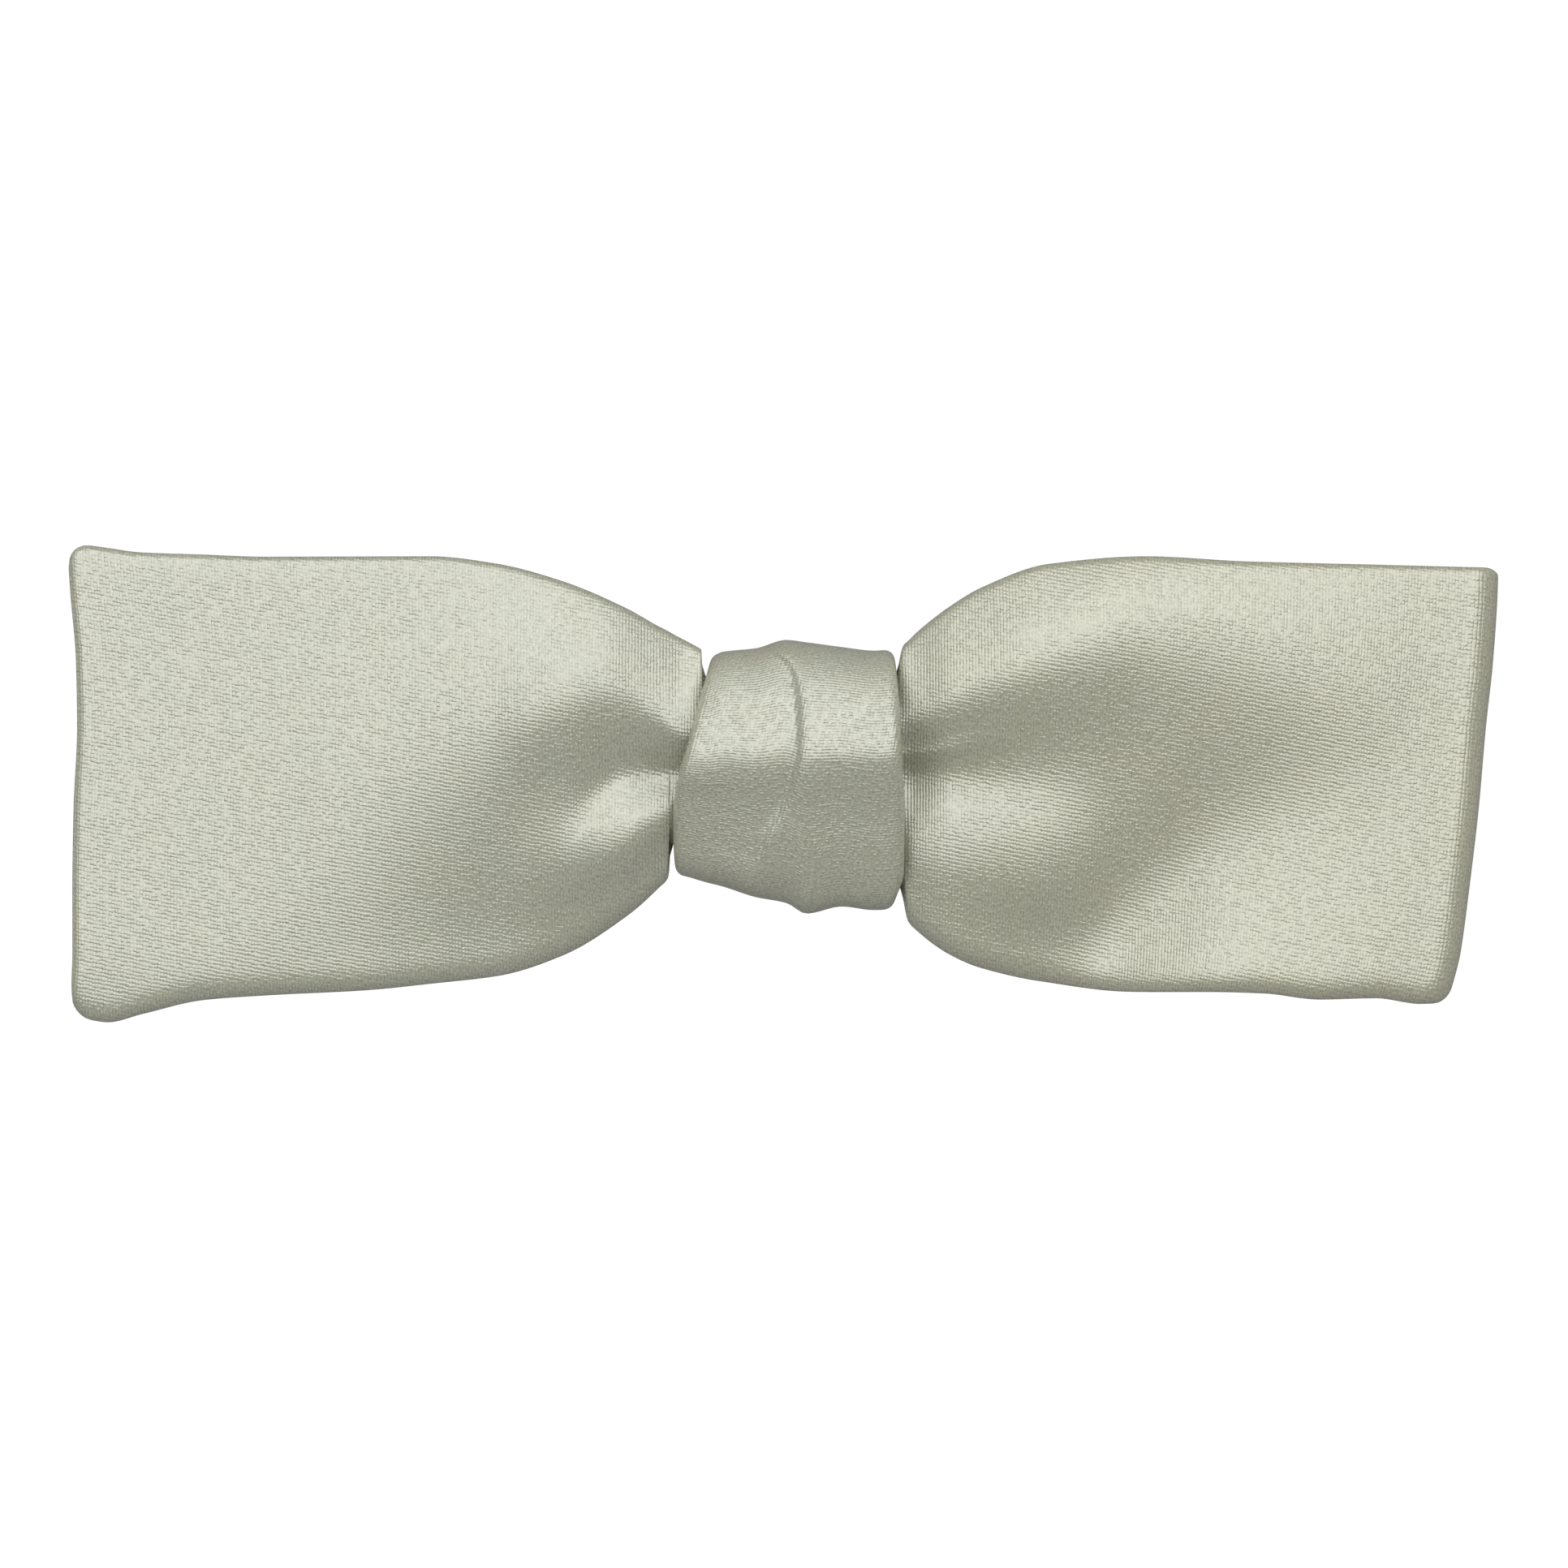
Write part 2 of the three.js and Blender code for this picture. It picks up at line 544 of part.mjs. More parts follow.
// Side view of the clip: a flat strip whose ends curl up and back over it.
function clipProfile() {
  const inner = CLIP_GAP / 2;
  const outer = inner + CLIP_SHEET;
  const bendX = CLIP_LENGTH / 2 - outer;
  const profile = new THREE.Shape();
  const armTop = 2 * outer;
  profile.moveTo(-bendX, 0);
  profile.lineTo(bendX, 0);
  const arc = (centreX, radius, from, to) => {
    for (let i = 1; i <= CLIP_BEND_STEPS; i += 1) {
      const angle = THREE.MathUtils.lerp(from, to, i / CLIP_BEND_STEPS);
      profile.lineTo(centreX + radius * Math.cos(angle), outer + radius * Math.sin(angle));
    }
  };
  const down = -Math.PI / 2;
  const up = Math.PI / 2;
  arc(bendX, outer, down, up);
  profile.lineTo(CLIP_ARM_TIP_X, armTop);
  profile.lineTo(CLIP_ARM_TIP_X, armTop - CLIP_SHEET);
  profile.lineTo(bendX, armTop - CLIP_SHEET);
  arc(bendX, inner, up, down);
  profile.lineTo(-bendX, CLIP_SHEET);
  arc(-bendX, inner, down, down - Math.PI);
  profile.lineTo(-CLIP_ARM_TIP_X, armTop - CLIP_SHEET);
  profile.lineTo(-CLIP_ARM_TIP_X, armTop);
  profile.lineTo(-bendX, armTop);
  arc(-bendX, outer, up, up + Math.PI);
  return profile;
}

function collarClip() {
  const geometry = new THREE.ExtrudeGeometry(clipProfile(), { depth: CLIP_WIDTH, bevelEnabled: false });
  geometry.rotateX(Math.PI / 2);
  geometry.translate(0, CLIP_CENTRE_Y + CLIP_WIDTH / 2, 0);
  return geometry;
}

function piece(name, geometry, settings) {
  const mesh = new THREE.Mesh(geometry, new THREE.MeshStandardMaterial(settings));
  mesh.name = name;
  return mesh;
}

const bowTie = new THREE.Group();
bowTie.name = 'bow_tie';
bowTie.add(
  piece('bow_band', bowBand(), { color: CLOTH_COLOUR, roughness: 0.55, metalness: 0 }),
  piece('knot_wrap', knotWrap(), { color: CLOTH_COLOUR, roughness: 0.55, metalness: 0 }),
  piece('collar_clip', collarClip(), { color: METAL_COLOUR, roughness: 0.35, metalness: 1 }),
);

export default bowTie;
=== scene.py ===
import math

import bpy
import numpy as np
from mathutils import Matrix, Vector


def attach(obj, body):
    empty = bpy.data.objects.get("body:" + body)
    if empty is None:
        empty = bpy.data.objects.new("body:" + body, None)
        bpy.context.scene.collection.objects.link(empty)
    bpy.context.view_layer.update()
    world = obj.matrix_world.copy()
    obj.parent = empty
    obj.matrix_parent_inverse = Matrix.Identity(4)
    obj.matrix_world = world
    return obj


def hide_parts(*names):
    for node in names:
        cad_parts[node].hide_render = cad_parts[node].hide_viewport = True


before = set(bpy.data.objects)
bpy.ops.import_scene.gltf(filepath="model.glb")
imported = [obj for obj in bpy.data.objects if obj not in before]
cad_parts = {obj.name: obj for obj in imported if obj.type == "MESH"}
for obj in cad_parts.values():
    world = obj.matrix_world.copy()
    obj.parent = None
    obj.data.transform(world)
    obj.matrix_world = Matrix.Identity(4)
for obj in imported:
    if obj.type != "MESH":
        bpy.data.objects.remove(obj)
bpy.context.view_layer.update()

# A pre-tied bow tie on its back, seen from straight above its front.
# X runs along the wings, Y up the height of the bow and Z out of its front.
# Shapes are worked out in millimetres, with the same sizes as the frame's solids, and made in metres.
MM = 0.001

# Bow band: one padded strip, folded over at the right and again behind the left wing.
BAND_THICKNESS = 1.8
BAND_CUT_WIDTH = 38.0
UPPER_EDGE_ROUNDING = 0.6
LOWER_EDGE_ROUNDING = 1.1
UPPER_EDGE_ROLL = 0.1
LOWER_EDGE_ROLL = 0.5
EDGE_ROLL_WIDTH = 1.1
BAND_END_THINNING = 0.55
BAND_END_THINNING_LENGTH = 0.6
LEFT_END_X = -60.0
RIGHT_FOLD_X = 60.0
HIDDEN_FOLD_X = -57.2
HIDDEN_END_X = 57.0
FOLD_REACH = 1.9
EAR_RADIUS = 1.7
FOLD_CORNER_RADIUS = 0.25
FOLD_CORNER_SHARPNESS = 0.5
HIDDEN_CORNER_RADIUS = 1.5
LEFT_SHIFT_FROM = 30
RIGHT_SHIFT_FROM = 15
FULL_SHIFT_FROM = 58
RISE_START_FROM_KNOT = -2.5
RISE_END_FROM_KNOT = 1.0

# Knot wrap: one short padded strip around the middle of the bow.
WRAP_THICKNESS = 1.5
WRAP_EDGE_THINNING = 0.55
WRAP_EDGE_SPREAD = 9.0
WRAP_LEAST_HALF = 0.05
WRAP_BACK_Z = 1.1
WRAP_SIDE_Z = 6.5
WRAP_SQUARENESS = 3.4
WRAP_MIDDLE_Y = 0.6
WRAP_HALF_HEIGHT = 10.6
WRAP_SIDE_DROP = 0.5
PLEAT_SOFTNESS = 0.4
CREST_SLANT = -0.008
CREST_LEVEL_AT_X = 4.0

# Rows of the meshes. The places near an edge are shares of the width of its rounding.
NEAR_EDGE = np.array([0, 0.04, 0.12, 0.26, 0.45, 0.7, 1.0])
ROWS_ACROSS = 64
FRONT_STEPS = 330
STEPS_LEFT_OF_KNOT = np.linspace(-10.2, -6.6, 40)
STEPS_RIGHT_OF_KNOT = np.linspace(8.8, 10.8, 20)
HIDDEN_STEPS = 110
RIGHT_FOLD_STEPS = 24
HIDDEN_FOLD_STEPS = 16
LEFT_END_STEPS = (0, 0.1, 0.25, 0.5, 0.8, 1.2, EAR_RADIUS)
HIDDEN_END_STEPS = (HIDDEN_CORNER_RADIUS, 0.9, 0.5, 0.2, 0)
STEP_PAST_LEFT_END = 0.4
STEP_BEFORE_HIDDEN_END = 0.7
STEP_BEFORE_FOLD_IN_FRONT = 0.3
STEP_BESIDE_FOLDS_BEHIND = 0.6
WRAP_STEPS_AROUND = 220
WRAP_STEPS_ACROSS = 64


def table(names, *rows):
    """A short table, as its columns by name."""
    return {name: np.array([row[i] for row in rows], float) for i, name in enumerate(names.split())}


# Height of the front leaf's upper and lower edge along the bow. Under the knot it is pinched.
BOW_OUTLINE = table(
    "x top bottom",
    (-60.0, 20.2, -19.6),
    (-58.4, 20.1, -19.9),
    (-56.9, 19.9, -20.1),
    (-54.0, 19.5, -19.4),
    (-48.8, 19.3, -18.2),
    (-43.3, 19.1, -17.8),
    (-35.1, 19.1, -17.4),
    (-29.7, 19.1, -16.9),
    (-24.2, 18.5, -16.3),
    (-18.8, 17.1, -14.6),
    (-13.3, 14.8, -11.2),
    (-10.6, 13.3, -8.8),
    (-9.8, 12.9, -7.9),
    (-9.55, 12.75, -5.0),
    (-7.4, 11.6, -5.0),
    (-6.95, 11.3, -5.0),
    (-6.8, 8.5, -5.0),
    (-5.8, 8.2, -5.5),
    (0.0, 8.4, -6.8),
    (9.2, 8.4, -7.2),
    (10.0, 11.6, -9.4),
    (10.5, 12.1, -11.6),
    (11.2, 12.8, -12.4),
    (13.9, 14.9, -14.4),
    (16.6, 16.5, -15.6),
    (22.1, 18.4, -16.8),
    (30.2, 19.0, -17.6),
    (38.4, 18.6, -17.5),
    (43.0, 18.5, -17.6),
    (48.4, 18.4, -18.1),
    (53.4, 18.3, -18.0),
    (57.6, 18.2, -18.5),
    (60.0, 18.1, -18.5),
)

# Where the left end and the right fold are at each height: the one is hollow and the other slants.
SIDE_EDGES = table(
    "y left right",
    (-20.0, -60.1, 55.9),
    (-14.0, -59.8, 57.1),
    (-8.8, -59.8, 57.8),
    (-2.0, -59.7, 58.6),
    (4.8, -59.4, 59.2),
    (10.3, -59.5, 59.8),
    (16.4, -60.0, 60.2),
    (20.0, -60.2, 60.3),
)

# Height of each leaf in Z, and how far the two hidden ones are drawn in from the front one's edges.
LEAF_LEVELS = table(
    "x front middle back middle_inset back_inset",
    (-60, 10.0, 7.2, 3.4, 1.2, 1.2),
    (-45, 10.6, 7.4, 3.4, 1.2, 1.2),
    (-27, 11.3, 8.3, 5.3, 1.0, 1.1),
    (-20, 10.5, 7.9, 5.1, 0.8, 1.0),
    (-14, 9.4, 7.0, 4.5, 0.7, 0.9),
    (-10, 8.7, 6.3, 4.1, 0.5, 1.8),
    (10, 8.7, 6.4, 4.1, 0.5, 3.1),
    (14, 9.8, 7.3, 4.8, 0.4, 0.9),
    (27, 11.4, 8.2, 5.4, 0.3, 1.3),
    (45, 11.7, 7.2, 3.4, 0.1, 1.6),
    (60, 10.9, 6.9, 3.2, 0.0, 1.6),
)
# How much of the folds' height each leaf takes on.
FOLD_SHARE = {"front": 1.0, "middle": 0.92, "back": 0.8}

# Each fold runs along the rows of its table. At each row it stands up by its height, or lies lower
# where that is negative, and fades out over a width above it and another below it.
FOLD_COLUMNS = "x y height above below"
LEFT_FOLDS = {
    "upper_ridge": table(
        FOLD_COLUMNS,
        (-50, 1.0, 0.0, 12, 12),
        (-38, 1.0, 0.3, 12, 9),
        (-30, 4.4, 0.7, 11, 9),
        (-25, 5.8, 1.3, 10, 8),
        (-21.5, 6.5, 2.4, 9, 6.4),
        (-18, 7.8, 3.2, 8, 6.8),
        (-15, 8.6, 3.3, 7.8, 6.2),
        (-12.6, 7.8, 3.1, 8, 5.2),
        (-11, 6.6, 3.0, 8.2, 4.2),
        (-8, 4.4, 2.7, 7.4, 2.8),
    ),
    "valley": table(
        FOLD_COLUMNS,
        (-20, -3.4, 0.0, 3, 3),
        (-18, -2.4, -0.2, 2.6, 2.5),
        (-16, -0.9, -0.5, 2.2, 2.2),
        (-13, 0.8, -0.7, 2, 2),
        (-8, 0.8, -0.6, 1.5, 1.5),
    ),
    "lower_ridge": table(
        FOLD_COLUMNS,
        (-28, -9.0, 0.0, 4, 5),
        (-22, -7.8, 0.2, 4, 4.5),
        (-17.5, -6.4, 0.9, 4.2, 4.2),
        (-13.5, -4.8, 1.7, 4.0, 3.8),
        (-10, -2.2, 1.3, 2.6, 3.0),
        (-8, -1.0, 1.0, 1.7, 3),
    ),
    "lower_roll": table(
        FOLD_COLUMNS,
        (-50, -19.0, -0.3, 3, 5),
        (-42, -19.0, -0.7, 6, 5),
        (-36, -18.6, -1.4, 9, 5),
        (-30, -18.0, -3.0, 11, 5),
        (-25, -17.0, -4.2, 11, 6),
        (-20, -16.5, -4.6, 10, 6),
        (-15, -14.0, -3.4, 8, 5),
        (-8, -8.0, -1.2, 4, 2),
    ),
}
RIGHT_FOLDS = {
    "upper_ridge": table(
        FOLD_COLUMNS,
        (8, 5.2, 2.6, 7.5, 2.8),
        (11.5, 6.4, 2.9, 8, 3.8),
        (15, 8.0, 3.3, 8, 5.0),
        (20, 10.2, 3.8, 8, 6.5),
        (25, 12.2, 3.9, 7, 8),
        (30, 13.4, 3.4, 7, 9),
        (35, 13.4, 2.6, 7, 10),
        (42, 11.4, 1.7, 8, 10),
        (50, 8.0, 0.7, 8, 8),
        (57, 7.0, 0.0, 7, 7),
    ),
    "fine_pleat": table(
        FOLD_COLUMNS,
        (8, 2.4, 0.45, 0.5, 0.6),
        (12, 2.6, 0.40, 0.6, 0.7),
        (16, 3.4, 0.2, 0.8, 0.9),
        (20, 4.6, 0.0, 1, 1),
    ),
    "valley": table(
        FOLD_COLUMNS,
        (8, 0.8, -0.5, 1.5, 1.5),
        (14, 0.6, -0.5, 2.2, 2.4),
        (21, 0.4, -0.3, 3, 3),
        (28, 0.0, -0.1, 4, 4),
        (36, 0.0, 0.0, 5, 5),
    ),
    "lower_ridge": table(
        FOLD_COLUMNS,
        (8, -4.4, 0.7, 3.8, 3.0),
        (14, -6.4, 0.6, 6, 4.4),
        (20, -7.6, 0.8, 7, 4.4),
        (25, -8.0, 0.4, 6, 4.4),
        (30, -8.0, 0.0, 4, 4),
    ),
    "lower_dip": table(
        FOLD_COLUMNS,
        (10, -14.0, -1.6, 6, 3),
        (16, -17.0, -3.4, 9, 6),
        (20, -17.5, -4.4, 10, 7),
        (24, -16.5, -4.8, 10, 9),
        (28, -14.0, -4.6, 10, 11),
        (33, -10.0, -3.4, 9, 12),
        (38, -6.5, -2.1, 9, 12),
        (44, -3.5, -1.1, 9, 15),
        (50, -1.0, -0.4, 8, 16),
        (56, 2.0, 0.0, 8, 12),
    ),
}

# Height of the bunched cloth in the knot's grip.
BUNCHED = table(
    "y height",
    (-10, -1.8),
    (-6.5, -1.2),
    (-4.5, -0.5),
    (-3, 0.2),
    (-1, 0.7),
    (0.8, 0.5),
    (2.5, 1.7),
    (4.6, 2.7),
    (8, 0.9),
    (11, -0.3),
)

# The knot's left and right side and the edge of its lap at each height.
KNOT_SIDES = table(
    "y left right lap",
    (-11.0, -9.2, 9.2, -1.4),
    (-7.3, -9.3, 10.1, -2.0),
    (-4.6, -9.3, 10.1, -1.6),
    (-2.0, -9.1, 10.1, 0.0),
    (0.7, -8.6, 9.9, 0.9),
    (3.3, -8.0, 9.8, 1.3),
    (5.8, -7.5, 9.7, 1.3),
    (8.5, -6.9, 9.5, 1.0),
    (10.0, -6.55, 9.4, 0.4),
    (11.5, -6.3, 9.3, -1.0),
)
# Where the knot turns over to the back, at its top and its bottom.
KNOT_ENDS = table(
    "x top bottom",
    (-9.4, 10.5, -7.7),
    (-6.4, 10.7, -8.4),
    (-5.2, 11.2, -8.7),
    (-2.4, 11.5, -9.6),
    (0.2, 12.2, -10.1),
    (1.9, 12.0, -11.0),
    (4.9, 11.6, -10.4),
    (7.6, 11.3, -10.7),
    (10.4, 11.5, -10.6),
)
# Height of the knot's front in Z, from its bottom at -1 to its top at 1.
KNOT_FRONT = table(
    "across z",
    (-1.0, 11.8),
    (-0.65, 12.3),
    (-0.4, 13.1),
    (-0.15, 14.3),
    (0.02, 15.3),
    (0.18, 15.9),
    (0.5, 15.5),
    (1.0, 14.8),
)

# Half the step of the lap of the right panel over the left one.
PLEAT = table(
    "y step",
    (-9, 0.0),
    (-5, 0.3),
    (3, 0.4),
    (7, 0.45),
    (11.5, 0.45),
)


def read(rows, key, column, at):
    """Value of one column between the rows of a table, smooth and without overshoot."""
    keys, values = rows[key], rows[column]
    at = np.clip(np.asarray(at, float), keys[0], keys[-1])
    row = np.clip(np.searchsorted(keys, at, side="right") - 1, 0, len(keys) - 2)
    grade = np.diff(values) / np.diff(keys)
    before, after = grade[:-1], grade[1:]
    same_way = before * after > 0
    tangent = np.zeros(len(keys))
    tangent[1:-1][same_way] = 2 * before[same_way] * after[same_way] / (before + after)[same_way]
    span = np.diff(keys)[row]
    t = (at - keys[row]) / span
    rise = (values[row + 1] - values[row]) * t * t * (3 - 2 * t)
    start = t * (1 - t) ** 2 * span * tangent[row]
    end = t * t * (t - 1) * span * tangent[row + 1]
    return values[row] + rise + start + end


def smooth(low, high, at):
    """0 up to low, 1 from high on, and a soft rise between them."""
    t = np.clip((at - low) / (high - low), 0, 1)
    return t * t * (3 - 2 * t)


def corner_cut(distance, radius):
    """How far a rounded corner draws an edge in, at this distance from the corner's side."""
    inside = np.maximum(0, radius - np.maximum(0, distance))
    return radius - np.sqrt(np.maximum(0, radius * radius - inside * inside))


# Bow band


def fold_height(x, y):
    """How far the folds lift the cloth, bunched up where the knot grips it."""
    height = np.zeros(np.broadcast(x, y).shape)
    for folds, here in ((LEFT_FOLDS, x < 0), (RIGHT_FOLDS, x >= 0)):
        for rows in folds.values():
            offset = y - read(rows, "x", "y", x)
            above, below = read(rows, "x", "above", x), read(rows, "x", "below", x)
            spread = np.where(offset > 0, above, below)
            height += here * read(rows, "x", "height", x) * np.exp(-((offset / spread) ** 2))
    left = read(KNOT_SIDES, "y", "left", y) - x
    right = x - read(KNOT_SIDES, "y", "right", y)
    rise = smooth(RISE_START_FROM_KNOT, RISE_END_FROM_KNOT, np.where(x < 0, left, right))
    bunched = read(BUNCHED, "y", "height", y)
    return bunched + (height - bunched) * rise


def leaf_height(leaf, x, y):
    """Height in Z of the middle of a leaf's cloth."""
    return read(LEAF_LEVELS, "x", leaf, x) + FOLD_SHARE[leaf] * fold_height(x, y)


def leaf_edges(leaf, x):
    """Height in Y of a leaf's upper and lower edge."""
    inset = 0 if leaf == "front" else read(LEAF_LEVELS, "x", leaf + "_inset", x)
    return read(BOW_OUTLINE, "x", "top", x) - inset, read(BOW_OUTLINE, "x", "bottom", x) + inset


def plan_shift(x, y):
    """How far a point moves along X for the hollow left end or the slanting right fold."""
    left = read(SIDE_EDGES, "y", "left", y) - LEFT_END_X
    right = read(SIDE_EDGES, "y", "right", y) - RIGHT_FOLD_X
    left_share = smooth(LEFT_SHIFT_FROM, FULL_SHIFT_FROM, -x)
    right_share = smooth(RIGHT_SHIFT_FROM, FULL_SHIFT_FROM, x)
    return np.where(x < 0, left * left_share, right * right_share)


def rows_across(bottom, top):
    """Places across the band, closer together at its edges, and how far in from an edge they are.

    The last result runs from 0 at an edge to 1 where the band has its full thickness.
    """
    low, high = bottom + LOWER_EDGE_ROUNDING, top - UPPER_EDGE_ROUNDING
    inner = low + (high - low) * np.linspace(0, 1, ROWS_ACROSS)[1:-1]
    lower, upper = NEAR_EDGE * LOWER_EDGE_ROUNDING, NEAR_EDGE[::-1] * UPPER_EDGE_ROUNDING
    y = np.hstack([bottom + lower, inner, top - upper])
    depth = np.minimum((y - bottom) / LOWER_EDGE_ROUNDING, (top - y) / UPPER_EDGE_ROUNDING)
    return y, np.minimum(y - bottom, top - y), np.clip(depth, 0, 1)


def edge_roll(on_upper_half, distance):
    """How far the cloth sinks towards its upper or lower edge."""
    fading = np.exp(-((distance / EDGE_ROLL_WIDTH) ** 2))
    return np.where(on_upper_half, UPPER_EDGE_ROLL, LOWER_EDGE_ROLL) * fading


def section(x, y, z, nx, nz, depth, thinning=1.0):
    """Rows across the band: the middle of the cloth, the way it faces and half its thickness."""
    half = BAND_THICKNESS * thinning / 2 * np.sqrt(1 - (1 - depth) ** 2)
    return [value * np.ones_like(y) for value in (x, y, z, nx, nz, half)]


def leaf_part(leaf, x, facing, cut=0.0, thinning=1.0):
    """Sections of one leaf at several x. It faces the front with 1, or the back with -1."""
    x = np.asarray(x, float)[:, None]
    top, bottom = leaf_edges(leaf, x)
    y, distance, depth = rows_across(bottom + cut, top - cut)
    z = leaf_height(leaf, x, y) - edge_roll(y > (top + bottom) / 2, distance)
    return section(x + plan_shift(x, y), y, z, 0.0, facing, depth, thinning)


def end_part(leaf, end_x, inward, distance, corner_radius):
    """One section near a cut end, which is thinner than the rest and has rounded corners."""
    full = smooth(0, BAND_END_THINNING_LENGTH, distance)
    thinning = BAND_END_THINNING + (1 - BAND_END_THINNING) * full
    return leaf_part(leaf, [end_x + inward * distance], 1, corner_cut(distance, corner_radius), thinning)


def fold_part(upper, lower, centre_x, side, steps):
    """Sections around the fold that joins two leaves, at the right with 1 or the left with -1."""
    angle = np.linspace(math.pi / 2, -math.pi / 2, steps)[:, None]
    x = np.full_like(angle, centre_x)
    (upper_top, upper_bottom), (lower_top, lower_bottom) = leaf_edges(upper, x), leaf_edges(lower, x)
    share = 0.5 - 0.5 * np.sin(angle)
    reach = FOLD_REACH * np.cos(angle)
    cut = corner_cut((FOLD_REACH - reach) * FOLD_CORNER_SHARPNESS, FOLD_CORNER_RADIUS)
    top = upper_top + (lower_top - upper_top) * share - cut
    bottom = upper_bottom + (lower_bottom - upper_bottom) * share + cut
    y, distance, depth = rows_across(bottom, top)
    high, low = leaf_height(upper, x, y), leaf_height(lower, x, y)
    z = (high + low) / 2 + (high - low) / 2 * np.sin(angle) - edge_roll(y > 0, distance)
    place = x + side * reach + plan_shift(x, y)
    return section(place, y, z, np.cos(angle), np.sin(angle) * side, depth)


def band_parts():
    """All sections along the strip, from the left end in front to the hidden end behind."""
    right = RIGHT_FOLD_X - FOLD_REACH - BAND_THICKNESS / 2
    left = HIDDEN_FOLD_X + FOLD_REACH + BAND_THICKNESS / 2
    for distance in LEFT_END_STEPS:
        yield end_part("front", LEFT_END_X, 1, distance, EAR_RADIUS)
    front_start = LEFT_END_X + EAR_RADIUS + STEP_PAST_LEFT_END
    front = np.linspace(front_start, right - STEP_BEFORE_FOLD_IN_FRONT, FRONT_STEPS)
    yield leaf_part("front", np.sort(np.hstack([front, STEPS_LEFT_OF_KNOT, STEPS_RIGHT_OF_KNOT])), 1)
    yield fold_part("front", "middle", right, 1, RIGHT_FOLD_STEPS)
    inner_left, inner_right = left + STEP_BESIDE_FOLDS_BEHIND, right - STEP_BESIDE_FOLDS_BEHIND
    yield leaf_part("middle", np.linspace(inner_right, inner_left, HIDDEN_STEPS), -1)
    yield fold_part("middle", "back", left, -1, HIDDEN_FOLD_STEPS)
    back_stop = HIDDEN_END_X - HIDDEN_CORNER_RADIUS - STEP_BEFORE_HIDDEN_END
    yield leaf_part("back", np.linspace(inner_left, back_stop, HIDDEN_STEPS), 1)
    for distance in HIDDEN_END_STEPS:
        yield end_part("back", HIDDEN_END_X, -1, distance, HIDDEN_CORNER_RADIUS)


def along_path(points):
    """Distance along a line of points, from its first one."""
    steps = np.linalg.norm(np.diff(points, axis=0), axis=1)
    return np.concatenate([[0], np.cumsum(steps)])[:, None]


def bow_band():
    x, y, z, nx, nz, half = (np.vstack(columns) for columns in zip(*band_parts()))
    middle_x, middle_z = ([np.interp(0, *row) for row in zip(y, values)] for values in (x, z))
    along = along_path(np.stack([middle_x, middle_z], -1))
    weave = np.stack([along * np.ones_like(y), y + BAND_CUT_WIDTH / 2], -1)
    upper = np.stack([x + nx * half, y, z + nz * half], -1)
    lower = np.stack([x - nx * half, y, z - nz * half], -1)
    rings = np.concatenate([upper, lower[:, -2:0:-1]], axis=1)
    weave = np.concatenate([weave, weave[:, -2:0:-1]], axis=1)
    return skin("bow_cloth", rings, weave, joined=False)


# Knot wrap


def rounded(value):
    """A sine or cosine, changed so that the loop it makes is squarer than a circle."""
    return np.sign(value) * np.abs(value) ** (2 / WRAP_SQUARENESS)


def wrap_surface(x, angle, share, depth):
    """Points of the knot, this deep under its outside. The share is 0 at the lap and 1 at a side."""
    top, bottom = read(KNOT_ENDS, "x", "top", x), read(KNOT_ENDS, "x", "bottom", x)
    across = rounded(np.cos(angle))
    y = (top + bottom) / 2 + ((top - bottom) / 2 - depth) * across
    crest = read(KNOT_FRONT, "across", "z", across + CREST_SLANT * (x - CREST_LEVEL_AT_X))
    front = crest - WRAP_SIDE_DROP * share**4
    lap = read(KNOT_SIDES, "y", "lap", y)
    step = read(PLEAT, "y", "step", y) * np.tanh((x - lap) / PLEAT_SOFTNESS)
    on_front = np.sin(angle) > 0
    reach = np.where(on_front, front + step - WRAP_SIDE_Z, WRAP_SIDE_Z - WRAP_BACK_Z)
    z = WRAP_SIDE_Z + (reach - depth) * rounded(np.sin(angle))
    return np.stack([x, y, z], -1)


def knot_wrap():
    angle = (np.arange(WRAP_STEPS_AROUND) * 2 * math.pi / WRAP_STEPS_AROUND)[:, None]
    nominal_y = WRAP_MIDDLE_Y + WRAP_HALF_HEIGHT * rounded(np.cos(angle))
    left, right, lap = (read(KNOT_SIDES, "y", side, nominal_y) for side in ("left", "right", "lap"))
    panel = 0.5 - 0.5 * np.cos(np.linspace(0, math.pi, WRAP_STEPS_ACROSS // 2))
    x = np.hstack([left + (lap - left) * panel, lap + (right - lap) * panel[1:]])
    angle = angle * np.ones_like(x)
    share = np.hstack([1 - panel, panel[1:]]) * np.ones_like(x)
    edge = corner_cut((1 - share) * WRAP_EDGE_SPREAD, WRAP_THICKNESS * WRAP_EDGE_THINNING)
    edge = np.minimum(edge, WRAP_THICKNESS / 2 - WRAP_LEAST_HALF)
    outer = wrap_surface(x, angle, share, edge)
    inner = wrap_surface(x, angle, share, WRAP_THICKNESS - edge)
    around = along_path(outer[:, x.shape[1] // 2])
    weave = np.stack([around * np.ones_like(x), x], -1)
    rings = np.concatenate([outer, inner[:, ::-1]], axis=1)
    weave = np.concatenate([weave, weave[:, ::-1]], axis=1)
    return skin("knot_cloth", rings, weave, joined=True)


# Meshes


def end_cap(ring):
    """Faces that close a tube at this ring, each from one side of the ring to the other."""
    size = len(ring)
    for j in range(size // 2):
        corners = [ring[j], ring[j + 1], ring[size - j - 1], ring[(size - j) % size]]
        yield list(dict.fromkeys(int(corner) for corner in corners))


